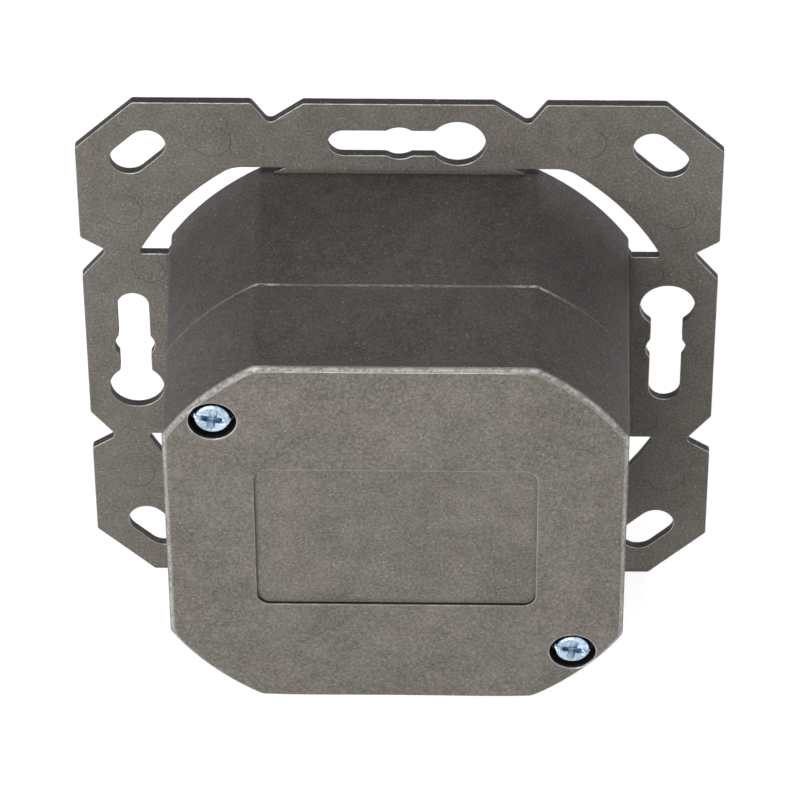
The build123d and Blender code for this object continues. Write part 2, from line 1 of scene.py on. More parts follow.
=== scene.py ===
import math

import bpy
import numpy as np
from bpy.props import FloatProperty, FloatVectorProperty, PointerProperty
from mathutils import Matrix, Vector


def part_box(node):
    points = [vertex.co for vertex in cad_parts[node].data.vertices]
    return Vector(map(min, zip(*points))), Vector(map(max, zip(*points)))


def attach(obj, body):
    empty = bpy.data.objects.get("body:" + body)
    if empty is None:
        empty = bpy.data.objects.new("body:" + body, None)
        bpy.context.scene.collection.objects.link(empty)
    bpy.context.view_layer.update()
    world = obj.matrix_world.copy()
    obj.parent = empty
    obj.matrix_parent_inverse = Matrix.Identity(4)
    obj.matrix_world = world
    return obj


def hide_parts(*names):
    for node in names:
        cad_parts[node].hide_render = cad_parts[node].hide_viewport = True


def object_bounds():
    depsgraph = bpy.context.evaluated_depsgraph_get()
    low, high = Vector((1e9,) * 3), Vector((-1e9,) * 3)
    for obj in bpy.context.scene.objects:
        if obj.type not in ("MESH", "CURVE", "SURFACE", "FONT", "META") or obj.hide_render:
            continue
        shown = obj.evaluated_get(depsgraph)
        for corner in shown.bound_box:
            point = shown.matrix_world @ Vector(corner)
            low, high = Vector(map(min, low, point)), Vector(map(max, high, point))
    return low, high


bl_info = {
    "name": "Flush network outlet",
    "version": (1, 0, 0),
    "blender": (4, 5, 0),
    "location": "3D View > Sidebar > Outlet",
    "description": "Dresses a die-cast twin network outlet and sets its studio",
    "category": "Object",
}

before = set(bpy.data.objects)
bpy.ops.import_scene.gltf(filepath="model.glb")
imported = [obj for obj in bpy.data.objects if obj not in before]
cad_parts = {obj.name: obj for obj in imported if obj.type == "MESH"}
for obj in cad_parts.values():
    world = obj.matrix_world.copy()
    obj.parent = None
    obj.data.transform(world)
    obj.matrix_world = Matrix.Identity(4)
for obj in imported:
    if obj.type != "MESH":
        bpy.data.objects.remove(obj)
CAD_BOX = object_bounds()
MM = 0.001
FRAME_THICK = 0.001
SCREW_HEAD_HEIGHT = 0.0016
SCREW_HEAD_RADIUS = 0.0020
SCREW_SHANK_RADIUS = 0.00125
PANEL_HALF_WIDTH = 0.0153
PANEL_HALF_HEIGHT = 0.01015
FLOOR_REACH = 4.0
SURFACE_SLACK = 0.00001
# Noise cells per metre of the patches in edge wear and highlight, and of breaks in the bevels' painted
# highlight
PATCHES_PER_METRE = 700
BREAKS_PER_METRE = 2200
# X where the parting line's painted highlight has gone, and where it is still whole
SEAM_FADE_PLUS_X = (0.0175, 0.0135)
SEAM_FADE_MINUS_X = (-0.022, -0.015)
IMAGE_SIZE = 800


# Sizes and colours


class CastingFinish(bpy.types.PropertyGroup):
    """Colours and scales of the cast zinc."""

    frame_colour: FloatVectorProperty(
        name="Frame colour", description="Dull zinc of the frame and front shell",
        subtype="COLOR", size=3, min=0, max=1, default=(0.211, 0.194, 0.174))
    cover_colour: FloatVectorProperty(
        name="Cover colour", description="Lighter zinc of the rear cover",
        subtype="COLOR", size=3, min=0, max=1, default=(0.216, 0.198, 0.176))
    # Bright metal colour of edge wear, also used for painted highlights and painted glints.
    wear_and_highlight_colour: FloatVectorProperty(
        name="Edge colour", description="Bare metal of edge wear, and colour of painted highlights and glints",
        subtype="COLOR", size=3, min=0, max=1, default=(0.72, 0.72, 0.71))
    grain_size: FloatProperty(
        name="Grain size", description="Length of the finest grain of the cast skin",
        subtype="DISTANCE", unit="LENGTH", min=0.0001, default=0.00030)
    edge_width: FloatProperty(
        name="Edge width", description="Radius to which the casting's sharp edges are rounded",
        subtype="DISTANCE", unit="LENGTH", min=0.00005, default=0.00022)
    # Width of the cover's edge wear with painted highlight.
    cover_edge_width: FloatProperty(
        name="Cover edge width", description="Radius of the edge wear and painted highlight on the cover's counterbores and panel",
        subtype="DISTANCE", unit="LENGTH", min=0.00005, default=0.00038)
    # Painted highlight on the cover's rim and parting line.
    rim_highlight: FloatProperty(
        name="Rim shine", description="Strength of the painted highlight on the cover's rim and the parting line",
        subtype="FACTOR", min=0, max=1, default=0.68)
    # Painted shade: the side walls are darkened by this tint.
    wall_shade_tint: FloatVectorProperty(
        name="Wall tint", description="Colour of the painted shade on the side walls",
        subtype="COLOR", size=3, min=0, max=1, default=(0.72, 0.70, 0.77))
    # The frame's cut edge, this deep, is given painted shade.
    frame_thickness: FloatProperty(
        name="Frame thickness", description="Depth of the cut edge, given painted shade, in front of the frame's rear face",
        subtype="DISTANCE", unit="LENGTH", default=FRAME_THICK)
    roughness: FloatProperty(
        name="Roughness", description="Roughness of the cast skin",
        subtype="FACTOR", min=0, max=1, default=0.56)


class EjectorMarks(bpy.types.PropertyGroup):
    """Faint rings that the mould's ejector pins leave on the frame."""

    wide_radius: FloatProperty(
        name="Wide pin", description="Radius of the rings near the frame's corners",
        subtype="DISTANCE", unit="LENGTH", default=0.0021)
    narrow_radius: FloatProperty(
        name="Narrow pin", description="Radius of the rings beside the body",
        subtype="DISTANCE", unit="LENGTH", default=0.0016)
    ring_width: FloatProperty(
        name="Ring width", description="Width of the raised line round each pin",
        subtype="DISTANCE", unit="LENGTH", default=0.00020)
    ring_height: FloatProperty(
        name="Ring height", description="How far the line stands above the frame",
        subtype="DISTANCE", unit="LENGTH", default=0.00002)
    pressed_side: FloatProperty(
        name="Pressed side", description="Direction, from +X towards +Z, in which the line stands highest",
        subtype="ANGLE", unit="ROTATION", default=math.radians(225))


class ScrewShape(bpy.types.PropertyGroup):
    """Shape and plating of the cross-recess cover screws."""

    colour: FloatVectorProperty(
        name="Plating colour", description="Blue zinc plating",
        subtype="COLOR", size=3, min=0, max=1, default=(0.46, 0.59, 0.72))
    head_rise: FloatProperty(
        name="Head rise", description="How much the head stands above the plain solid's",
        subtype="DISTANCE", unit="LENGTH", default=0.0003)
    recess_turn: FloatProperty(
        name="Recess turn", description="Turn of the cross about the screw's axis",
        subtype="ANGLE", unit="ROTATION", default=math.radians(10))
    recess_reach: FloatProperty(
        name="Recess reach", description="Length of each arm of the cross from its centre",
        subtype="DISTANCE", unit="LENGTH", default=0.00135)
    recess_half_width: FloatProperty(
        name="Arm half width", description="Half the width of each arm at the head's face",
        subtype="DISTANCE", unit="LENGTH", default=0.00042)
    slot_half_width: FloatProperty(
        name="Slot half width", description="Half the width of the driver slot across the whole head",
        subtype="DISTANCE", unit="LENGTH", default=0.00028)
    slot_depth: FloatProperty(
        name="Slot depth", description="Depth of the driver slot",
        subtype="DISTANCE", unit="LENGTH", default=0.00045)
    recess_depth: FloatProperty(
        name="Recess depth", description="Depth of the cross at its centre",
        subtype="DISTANCE", unit="LENGTH", default=0.00105)
    rim_radius: FloatProperty(
        name="Rim radius", description="Radius of the head's rounded rim",
        subtype="DISTANCE", unit="LENGTH", default=0.00045)
    thread_pitch: FloatProperty(
        name="Thread pitch", description="Advance of the thread per turn",
        subtype="DISTANCE", unit="LENGTH", default=0.00045)
    thread_depth: FloatProperty(
        name="Thread depth", description="Depth of the thread's groove",
        subtype="DISTANCE", unit="LENGTH", default=0.00022)


class StudioSetting(bpy.types.PropertyGroup):
    """Camera, floor and lights."""

    azimuth: FloatProperty(
        name="Camera azimuth", description="Turn of the camera round the outlet from straight behind",
        subtype="ANGLE", unit="ROTATION", default=math.radians(1.09))
    elevation: FloatProperty(
        name="Camera elevation", description="Height of the camera above the horizon",
        subtype="ANGLE", unit="ROTATION", default=math.radians(42.92))
    roll: FloatProperty(
        name="Camera roll", description="Roll about the line of sight",
        subtype="ANGLE", unit="ROTATION", default=math.radians(-0.307))
    distance: FloatProperty(
        name="Camera distance", description="From the target to the camera",
        subtype="DISTANCE", unit="LENGTH", default=0.59136)
    focal_pixels: FloatProperty(
        name="Focal length in pixels", description="Focal length for an image 800 pixels wide",
        default=5183.1)
    target: FloatVectorProperty(
        name="Camera target", description="Point that the camera looks at",
        subtype="TRANSLATION", size=3, default=(0.000062, 0.0, -0.008223))
    floor_colour: FloatVectorProperty(
        name="Floor colour", description="Pale floor",
        subtype="COLOR", size=3, min=0, max=1, default=(0.86, 0.86, 0.86))
    floor_glow: FloatProperty(
        name="Floor glow", description="How bright the floor looks by itself to the camera; 1 is white",
        min=0, max=1, default=0.79)
    floor_gap: FloatProperty(
        name="Floor gap", description="Distance from the outlet's lowest edge down to the floor",
        subtype="DISTANCE", unit="LENGTH", default=0.0001)
    ambient: FloatProperty(
        name="Ambient", description="Strength of the even light from all round", default=0.20)
    key_power: FloatProperty(
        name="Key power", description="Power of the large lamp behind the outlet, to the left of the camera",
        unit="POWER", default=1.66)
    key_place: FloatVectorProperty(
        name="Key place", description="Place of the key lamp from the camera's target",
        subtype="TRANSLATION", size=3, default=(0.18, 0.49, 0.16))
    fill_power: FloatProperty(
        name="Fill power", description="Power of the weaker lamp that lights the room side",
        unit="POWER", default=1.1)
    fill_place: FloatVectorProperty(
        name="Fill place", description="Place of the fill lamp from the camera's target",
        subtype="TRANSLATION", size=3, default=(-0.16, -0.55, 0.06))
    lamp_size: FloatProperty(
        name="Lamp size", description="Side of each square lamp",
        subtype="DISTANCE", unit="LENGTH", default=0.35)


# Node helpers


def feed(tree, socket, value):
    """Gives a socket a constant, or a link from another node's output."""
    if isinstance(value, bpy.types.NodeSocket):
        tree.links.new(value, socket)
    elif hasattr(socket.default_value, "__len__") and len(socket.default_value) == 4 and len(value) == 3:
        socket.default_value = (*value, 1.0)
    else:
        socket.default_value = value


def place(tree, kind, inputs=None, **settings):
    """Adds a node, sets its properties and feeds its inputs, which are named or numbered."""
    made = tree.nodes.new(kind)
    for name, value in settings.items():
        setattr(made, name, value)
    for name, value in (inputs or {}).items():
        feed(tree, made.inputs[name], value)
    return made


def maths(tree, operation, a, b=0.0, clamp=False):
    """Output of a Math node."""
    return place(tree, "ShaderNodeMath", {0: a, 1: b}, operation=operation, use_clamp=clamp).outputs[0]


def ramp(tree, value, low, high, to_low=0.0, to_high=1.0):
    """Smooth step of a value from one range to another."""
    made = place(
        tree, "ShaderNodeMapRange",
        {"Value": value, "From Min": low, "From Max": high, "To Min": to_low, "To Max": to_high},
        interpolation_type="SMOOTHSTEP")
    return made.outputs["Result"]


def colour_mix(tree, share, first, second, how="MIX"):
    """Colour mixed from two others, found by the sockets' kind because a Mix node holds several sets."""
    made = tree.nodes.new("ShaderNodeMix")
    made.data_type = "RGBA"
    made.blend_type = how
    feed(tree, made.inputs[0], share)
    feed(tree, made.inputs[6], first)
    feed(tree, made.inputs[7], second)
    return made.outputs[2]


def noise(tree, point, scale, detail, roughness=0.5):
    """A noise texture read at a point."""
    return place(
        tree, "ShaderNodeTexNoise",
        {"Vector": point, "Scale": scale, "Detail": detail, "Roughness": roughness})


def product(tree, a, b, clamp=False):
    """Output of a Math node that multiplies."""
    return maths(tree, "MULTIPLY", a, b, clamp)


def split(tree, vector):
    """The outputs X, Y and Z of a vector."""
    return place(tree, "ShaderNodeSeparateXYZ", {"Vector": vector}).outputs


def new_group(name, inputs, outputs):
    """An empty shader node group with named sockets, and its input and output nodes."""
    tree = bpy.data.node_groups.new(name, "ShaderNodeTree")
    for label, kind, default in inputs:
        socket = tree.interface.new_socket(label, in_out="INPUT", socket_type=kind)
        socket.default_value = default
    for label, kind in outputs:
        tree.interface.new_socket(label, in_out="OUTPUT", socket_type=kind)
    return tree, tree.nodes.new("NodeGroupInput"), tree.nodes.new("NodeGroupOutput")


def group(tree, name, **inputs):
    """Places a group in a material and feeds its inputs; an underscore stands for a space."""
    made = tree.nodes.new("ShaderNodeGroup")
    made.node_tree = bpy.data.node_groups[name]
    for label, value in inputs.items():
        feed(tree, made.inputs[label.replace("_", " ").capitalize()], value)
    return made


def object_point(tree, scale):
    """Object coordinates times a scale, so that 1 is a chosen length."""
    point = place(tree, "ShaderNodeTexCoord").outputs["Object"]
    made = place(tree, "ShaderNodeVectorMath", {0: point}, operation="SCALE")
    feed(tree, made.inputs["Scale"], scale)
    return made.outputs[0]


# Effects shared by the materials


def build_edge_group():
    """Rounded normal at sharp edges, a mask of the outer edges' wear with painted highlight, and a mask
    of painted shade in the hollows.

    The edge mask is how far the rounded normal leans from the surface's own, where the outside lies
    open. The hollow mask, for painted shade, is how little of the outside is open within the depth.
    """
    tree, given, out = new_group(
        "Edge wear, painted highlight and shade",
        [("Width", "NodeSocketFloat", 0.0003), ("Depth", "NodeSocketFloat", 0.0015),
         ("Lean", "NodeSocketFloat", 0.15), ("Patchiness", "NodeSocketFloat", 0.35)],
        [("Mask", "NodeSocketFloat"), ("Hollow", "NodeSocketFloat"), ("Normal", "NodeSocketVector")])
    bevel = place(tree, "ShaderNodeBevel", {"Radius": given.outputs["Width"]}, samples=8)
    own = place(tree, "ShaderNodeNewGeometry").outputs["Normal"]
    likeness = place(
        tree, "ShaderNodeVectorMath", {0: bevel.outputs["Normal"], 1: own}, operation="DOT_PRODUCT")
    lean = maths(tree, "SUBTRACT", 1.0, likeness.outputs["Value"])
    edge = ramp(tree, lean, 0.012, given.outputs["Lean"])
    outer = place(tree, "ShaderNodeAmbientOcclusion", {"Distance": given.outputs["Depth"]}, samples=8)
    hollow = ramp(tree, outer.outputs["AO"], 0.85, 0.25)
    exposed = ramp(tree, outer.outputs["AO"], 0.55, 0.8)
    patch = noise(tree, object_point(tree, PATCHES_PER_METRE), 1.0, 4.0)
    patch = ramp(tree, patch.outputs["Fac"], 0.40, 0.62)
    kept = maths(tree, "SUBTRACT", 1.0, product(tree, given.outputs["Patchiness"], patch))
    mask = product(tree, product(tree, edge, exposed), kept, clamp=True)
    feed(tree, out.inputs["Mask"], mask)
    feed(tree, out.inputs["Hollow"], hollow)
    feed(tree, out.inputs["Normal"], bevel.outputs["Normal"])


def build_rim_highlight_group():
    """Mask of painted highlight on bevels behind a depth: where the rounded normal leans half backwards.

    It is broken up along its length by a noise. On the parting line, which lies between Start and
    Rim, it is narrower and fades out towards both sides.
    """
    tree, given, out = new_group(
        "Painted bevel highlight",
        [("Start", "NodeSocketFloat", 0.016), ("Rim", "NodeSocketFloat", 0.019),
         ("Width", "NodeSocketFloat", 0.00045), ("Breaks", "NodeSocketFloat", 0.5)],
        [("Mask", "NodeSocketFloat")])
    spot = split(tree, object_point(tree, 1.0))
    behind = maths(tree, "GREATER_THAN", spot["Y"], given.outputs["Start"])
    on_seam = maths(tree, "LESS_THAN", spot["Y"], given.outputs["Rim"])
    narrowing = maths(tree, "SUBTRACT", 1.0, product(tree, on_seam, 0.7))
    radius = product(tree, given.outputs["Width"], narrowing)
    bevel = place(tree, "ShaderNodeBevel", {"Radius": radius}, samples=8)
    slope = maths(tree, "ABSOLUTE", split(tree, bevel.outputs["Normal"])["Y"])
    band = product(tree, ramp(tree, slope, 0.52, 0.68), ramp(tree, slope, 0.88, 0.74))
    middle = product(
        tree, ramp(tree, spot["X"], *SEAM_FADE_PLUS_X), ramp(tree, spot["X"], *SEAM_FADE_MINUS_X))
    faded = product(tree, on_seam, maths(tree, "SUBTRACT", 1.0, middle))
    wander = noise(tree, object_point(tree, BREAKS_PER_METRE), 1.0, 4.0)
    breaks = product(tree, ramp(tree, wander.outputs["Fac"], 0.42, 0.60), given.outputs["Breaks"])
    kept = product(tree, maths(tree, "SUBTRACT", 1.0, faded), maths(tree, "SUBTRACT", 1.0, breaks))
    feed(tree, out.inputs["Mask"], product(tree, product(tree, band, behind), kept))


def build_wall_shade_group():
    """How much a place belongs to a side wall, to the frame's cut edge and to a counterbore's wall.

    They are told by normal and place, and each is given painted shade. The body's own walls, inside
    its outline, are no cut edge.
    """
    tree, given, out = new_group(
        "Painted wall shade",
        [("Thickness", "NodeSocketFloat", 0.001), ("Half width", "NodeSocketFloat", 0.0256),
         ("Radius", "NodeSocketFloat", 0.0299), ("Well start", "NodeSocketFloat", 0.0275)],
        [("Wall", "NodeSocketFloat"), ("Plate edge", "NodeSocketFloat"), ("Well", "NodeSocketFloat")])
    facing = split(tree, place(tree, "ShaderNodeNewGeometry").outputs["True Normal"])
    wall = ramp(tree, maths(tree, "ABSOLUTE", facing["Y"]), 0.6, 0.2)
    spot = split(tree, object_point(tree, 1.0))
    before = maths(tree, "LESS_THAN", spot["Y"], -SURFACE_SLACK)
    within = maths(tree, "GREATER_THAN", maths(tree, "ADD", spot["Y"], given.outputs["Thickness"]), 0.0)
    side = maths(tree, "MAXIMUM", maths(tree, "ABSOLUTE", spot["X"]), maths(tree, "ABSOLUTE", spot["Z"]))
    flat = place(tree, "ShaderNodeCombineXYZ", {"X": spot["X"], "Y": spot["Z"]})
    reach = place(tree, "ShaderNodeVectorMath", {0: flat.outputs[0]}, operation="LENGTH").outputs["Value"]
    outside = maths(
        tree, "MAXIMUM", maths(tree, "GREATER_THAN", side, given.outputs["Half width"]),
        maths(tree, "GREATER_THAN", reach, given.outputs["Radius"]))
    cut = product(tree, product(tree, before, within), outside)
    deep = maths(tree, "GREATER_THAN", spot["Y"], given.outputs["Well start"])
    feed(tree, out.inputs["Wall"], wall)
    feed(tree, out.inputs["Plate edge"], product(tree, wall, cut))
    feed(tree, out.inputs["Well"], product(tree, wall, deep))


def build_grain_group():
    """Skin of a casting: grain, mottling and clouds as a tone about 1, and the parts that lie on it.

    Those are a drift between a warm and a cool tinge, bright specks, drawn-out streaks and a height.
    """
    tree, given, out = new_group(
        "Cast grain",
        [("Grain", "NodeSocketFloat", 0.0004), ("Contrast", "NodeSocketFloat", 1.0)],
        [("Tone", "NodeSocketFloat"), ("Warmth", "NodeSocketFloat"), ("Specks", "NodeSocketFloat"),
         ("Streaks", "NodeSocketFloat"), ("Height", "NodeSocketFloat")])
    scale = maths(tree, "DIVIDE", 1.0, given.outputs["Grain"])
    point = object_point(tree, scale)
    fine = noise(tree, point, 1.0, 4.0, 0.7)
    mottle = noise(tree, point, 0.14, 4.0, 0.6)
    cloud = noise(tree, point, 0.03, 3.0, 0.55)
    grains = place(tree, "ShaderNodeTexVoronoi", {"Vector": point, "Scale": 1.1}, feature="F1")
    fine_part = ramp(tree, fine.outputs["Fac"], 0.25, 0.75, -0.40, 0.40)
    mottle_part = ramp(tree, mottle.outputs["Fac"], 0.3, 0.7, -0.09, 0.09)
    cloud_part = ramp(tree, cloud.outputs["Fac"], 0.3, 0.7, -0.08, 0.08)
    swing = maths(tree, "ADD", maths(tree, "ADD", fine_part, mottle_part), cloud_part)
    tone = maths(tree, "ADD", product(tree, swing, given.outputs["Contrast"]), 1.0)
    near = ramp(tree, grains.outputs["Distance"], 0.42, 0.22)
    pick = place(tree, "ShaderNodeSeparateColor", {"Color": grains.outputs["Color"]})
    chosen = ramp(tree, pick.outputs["Red"], 0.93, 1.0)
    specks = product(tree, near, chosen)
    drawn = place(
        tree, "ShaderNodeMapping",
        {"Vector": point, "Rotation": (0.3, 0.5, 0.2), "Scale": (0.9, 0.16, 0.16)})
    lines = noise(tree, drawn.outputs[0], 3.0, 1.0)
    streaks = ramp(tree, lines.outputs["Fac"], 0.75, 0.82)
    tinge = noise(tree, point, 0.35, 3.0, 0.7)
    drift = noise(tree, point, 0.04, 2.0)
    warmth = maths(
        tree, "ADD", product(tree, tinge.outputs["Fac"], 0.6), product(tree, drift.outputs["Fac"], 0.4))
    bumps = maths(tree, "ADD", product(tree, fine.outputs["Fac"], 0.7), mottle.outputs["Fac"])
    feed(tree, out.inputs["Tone"], tone)
    feed(tree, out.inputs["Warmth"], ramp(tree, warmth, 0.42, 0.58))
    feed(tree, out.inputs["Specks"], specks)
    feed(tree, out.inputs["Streaks"], streaks)
    feed(tree, out.inputs["Height"], bumps)


def build_skin_group():
    """Fine unevenness of moulded, rolled or plated skins: a tone about 1, a roughness shift, a height."""
    tree, given, out = new_group(
        "Fine skin",
        [("Size", "NodeSocketFloat", 0.0005), ("Stretch", "NodeSocketVector", (1.0, 1.0, 1.0)),
         ("Contrast", "NodeSocketFloat", 0.1)],
        [("Tone", "NodeSocketFloat"), ("Shift", "NodeSocketFloat"), ("Height", "NodeSocketFloat")])
    scale = maths(tree, "DIVIDE", 1.0, given.outputs["Size"])
    point = object_point(tree, scale)
    drawn = place(
        tree, "ShaderNodeVectorMath", {0: point, 1: given.outputs["Stretch"]}, operation="MULTIPLY")
    fine = noise(tree, drawn.outputs[0], 1.0, 4.0)
    broad = noise(tree, point, 0.08, 2.0)
    both = maths(tree, "ADD", fine.outputs["Fac"], broad.outputs["Fac"])
    centred = maths(tree, "SUBTRACT", both, 1.0)
    swing = product(tree, centred, given.outputs["Contrast"])
    feed(tree, out.inputs["Tone"], maths(tree, "ADD", swing, 1.0))
    feed(tree, out.inputs["Shift"], product(tree, centred, 0.25))
    feed(tree, out.inputs["Height"], fine.outputs["Fac"])


def tinted(tree, colour, tone):
    """A colour made lighter or darker by a tone about 1."""
    grey = place(tree, "ShaderNodeCombineColor", {"Red": tone, "Green": tone, "Blue": tone})
    return colour_mix(tree, 1.0, colour, grey.outputs["Color"], "MULTIPLY")


def start_material(name):
    """A material with its node tree, its Principled shader and its output."""
    material = bpy.data.materials.new(name)
    material.use_nodes = True
    tree = material.node_tree
    tree.nodes.clear()
    shader = tree.nodes.new("ShaderNodeBsdfPrincipled")
    output = tree.nodes.new("ShaderNodeOutputMaterial")
    tree.links.new(shader.outputs["BSDF"], output.inputs["Surface"])
    return material, tree, shader


def finish_bump(tree, shader, height, normal, strength, depth):
    """Feeds the shader's Normal from a height over the rounded normal."""
    bump = place(
        tree, "ShaderNodeBump",
        {"Strength": strength, "Distance": depth, "Height": height, "Normal": normal})
    feed(tree, shader.inputs["Normal"], bump.outputs["Normal"])


def cast_zinc(name, colour, finish, edge_share, breaks, edge_width):
    """Dull as-cast zinc: grain and clouds, bright specks as painted glints, painted shade in hollows, on
    side walls and on the frame's cut edge, and bright edge wear with painted highlight.

    The fourth argument is a function that gives, in the material's tree, how much wear and painted
    highlight each place's edges get, and breaks is how much of the bevels' painted highlight is missing.
    """
    material, tree, shader = start_material(name)
    grain = group(tree, "Cast grain", grain=finish.grain_size)
    edges = group(tree, "Edge wear, painted highlight and shade", width=edge_width, depth=0.0016)
    bevels = group(tree, "Painted bevel highlight", breaks=breaks)
    share = edge_share(tree)
    # Edge wear with painted highlight: the edge mask lightens the colour towards bare metal.
    wear_and_highlight = product(tree, edges.outputs["Mask"], share)
    # Painted highlight on the rim's and parting line's bevels, picked by how their normal leans.
    rim = product(tree, product(tree, bevels.outputs["Mask"], share), finish.rim_highlight)
    mask = maths(tree, "MAXIMUM", wear_and_highlight, rim)
    warm = tuple(part * shift for part, shift in zip(colour, (1.02, 0.99, 1.00)))
    cool = tuple(part * shift for part, shift in zip(colour, (0.98, 1.01, 0.97)))
    skin = colour_mix(tree, grain.outputs["Warmth"], cool, warm)
    skin = tinted(tree, skin, grain.outputs["Tone"])
    walls = group(tree, "Painted wall shade", thickness=finish.frame_thickness)
    # Painted shade on the side walls, picked by their normal.
    darkened = colour_mix(tree, 1.0, skin, finish.wall_shade_tint, "MULTIPLY")
    skin = colour_mix(tree, walls.outputs["Wall"], skin, darkened)
    # Painted shade: the frame's cut edge is coloured near black.
    skin = colour_mix(tree, product(tree, walls.outputs["Plate edge"], 0.6), skin, (0.02, 0.018, 0.016))
    # Painted glints: the grain's specks and drawn-out streaks are coloured bright bare metal.
    glints = product(tree, maths(tree, "ADD", grain.outputs["Specks"], grain.outputs["Streaks"]), 0.45)
    spotted = colour_mix(tree, glints, skin, finish.wear_and_highlight_colour)
    # Painted shade in the hollows, stronger on the counterbores' walls, coloured near black.
    hollow_shade = maths(tree, "ADD", product(tree, walls.outputs["Well"], 2.0), 0.85)
    hollow_shade = product(tree, edges.outputs["Hollow"], hollow_shade, clamp=True)
    with_hollow_shade = colour_mix(tree, hollow_shade, spotted, (0.010, 0.010, 0.010))
    # Edge wear and the rim's painted highlight, coloured bright bare metal.
    rubbed = colour_mix(tree, product(tree, mask, 0.85), with_hollow_shade, finish.wear_and_highlight_colour)
    feed(tree, shader.inputs["Base Color"], rubbed)
    shine = product(tree, maths(tree, "ADD", mask, grain.outputs["Specks"]), 0.22)
    feed(tree, shader.inputs["Roughness"], maths(tree, "SUBTRACT", finish.roughness, shine, clamp=True))
    feed(tree, shader.inputs["Metallic"], ramp(tree, mask, 0.0, 1.0, 0.08, 0.80))
    shader.inputs["Specular IOR Level"].default_value = 0.2
    finish_bump(tree, shader, grain.outputs["Height"], edges.outputs["Normal"], 0.6, 0.00007)
    return material


def everywhere(tree):
    """Every edge gets the same wear and painted highlight."""
    return 1.0


def wear_and_highlight_outside_panel(tree):
    """Share of edge wear and painted highlight: 1 on the cover's rim and counterbores, falling to little
    on the recessed panel's own edges.
    """
    spot = split(tree, object_point(tree, 1.0))
    across = maths(tree, "DIVIDE", maths(tree, "ABSOLUTE", spot["X"]), PANEL_HALF_WIDTH)
    upright = maths(tree, "DIVIDE", maths(tree, "ABSOLUTE", spot["Z"]), PANEL_HALF_HEIGHT)
    return ramp(tree, maths(tree, "MAXIMUM", across, upright), 1.03, 1.2, 0.5, 1.0)


def nowhere(tree):
    """No edge gets wear or painted highlight."""
    return 0.0


def plain_finish(name, colour, size, contrast, roughness, metallic=0.0, stretch=(1, 1, 1), bump=0.2,
                 edge=0.00012, wear_and_highlight_colour=None, hollow_shade=0.3):
    """Moulded plastic, laminate, sheet or plating, told apart by its numbers."""
    material, tree, shader = start_material(name)
    skin = group(tree, "Fine skin", size=size, contrast=contrast, stretch=stretch)
    edges = group(tree, "Edge wear, painted highlight and shade", width=edge, depth=8 * edge)
    toned = tinted(tree, colour, skin.outputs["Tone"])
    light = wear_and_highlight_colour or tuple(min(1.0, 1.25 * part + 0.02) for part in colour)
    # Edge wear with painted highlight: the edge mask lightens the colour.
    wear_and_highlight = colour_mix(tree, product(tree, edges.outputs["Mask"], 0.5), toned, light)
    # Painted shade in the hollows: darkened towards 0.12 of the colour.
    hollow_shade_colour = tuple(0.12 * part for part in colour)
    with_hollow_shade = colour_mix(tree, product(tree, edges.outputs["Hollow"], hollow_shade), wear_and_highlight, hollow_shade_colour)
    feed(tree, shader.inputs["Base Color"], with_hollow_shade)
    feed(tree, shader.inputs["Roughness"], maths(tree, "ADD", skin.outputs["Shift"], roughness, clamp=True))
    shader.inputs["Metallic"].default_value = metallic
    finish_bump(tree, shader, skin.outputs["Height"], edges.outputs["Normal"], bump, 0.00002)
    return material


# Meshes worked out as whole arrays


def grid_faces(rows, columns, wrap):
    """Quads of a grid of points kept row by row, closed round its columns where wrap is true."""
    row = np.arange(rows - 1)[:, None]
    column = np.arange(columns if wrap else columns - 1)[None, :]
    after = (column + 1) % columns
    here, below = row * columns, (row + 1) * columns
    corners = [here + column, here + after, below + after, below + column]
    return np.stack([np.broadcast_to(c, (rows - 1, column.size)) for c in corners], axis=-1).reshape(-1, 4)


def mesh_piece(name, parts, material):
    """A mesh object from (points, faces) parts, riding on the body; it stands at the origin."""
    counts = np.cumsum([0] + [len(points) for points, _ in parts])
    points = np.concatenate([points for points, _ in parts]).astype(np.float32)
    faces = np.concatenate([faces + start for (_, faces), start in zip(parts, counts)]).astype(np.int32)
    mesh = bpy.data.meshes.new(name)
    mesh.vertices.add(len(points))
    mesh.vertices.foreach_set("co", points.ravel())
    mesh.loops.add(faces.size)
    mesh.loops.foreach_set("vertex_index", faces.ravel())
    mesh.polygons.add(len(faces))
    mesh.polygons.foreach_set("loop_start", np.arange(0, faces.size, 4, dtype=np.int32))
    mesh.polygons.foreach_set("loop_total", np.full(len(faces), 4, dtype=np.int32))
    mesh.polygons.foreach_set("use_smooth", np.ones(len(faces), dtype=bool))
    mesh.update(calc_edges=True)
    mesh.validate()
    mesh.materials.append(material)
    piece = bpy.data.objects.new(name, mesh)
    bpy.context.scene.collection.objects.link(piece)
    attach(piece, "root")
    return piece


def ring_mark(x, z, radius, width, height, side):
    """Raised ring on the frame's rear face.

    Across the ring its height follows half a cosine wave, and the profile is carried round a circle
    and fades on the side that the ejector pin pressed less.
    """
    rows, columns = 9, 72
    across = np.linspace(-1, 1, rows)[:, None]
    turn = np.linspace(0, 2 * np.pi, columns, endpoint=False)[None, :]
    reach = radius + width / 2 * across
    pressed = 0.5 + 0.5 * np.cos(turn - side)
    level = height * (0.5 + 0.5 * np.cos(np.pi * across)) * pressed - 0.2 * height
    points = np.stack([x + reach * np.cos(turn), level, z + reach * np.sin(turn)], axis=-1)
    return points.reshape(-1, 3), grid_faces(rows, columns, True)


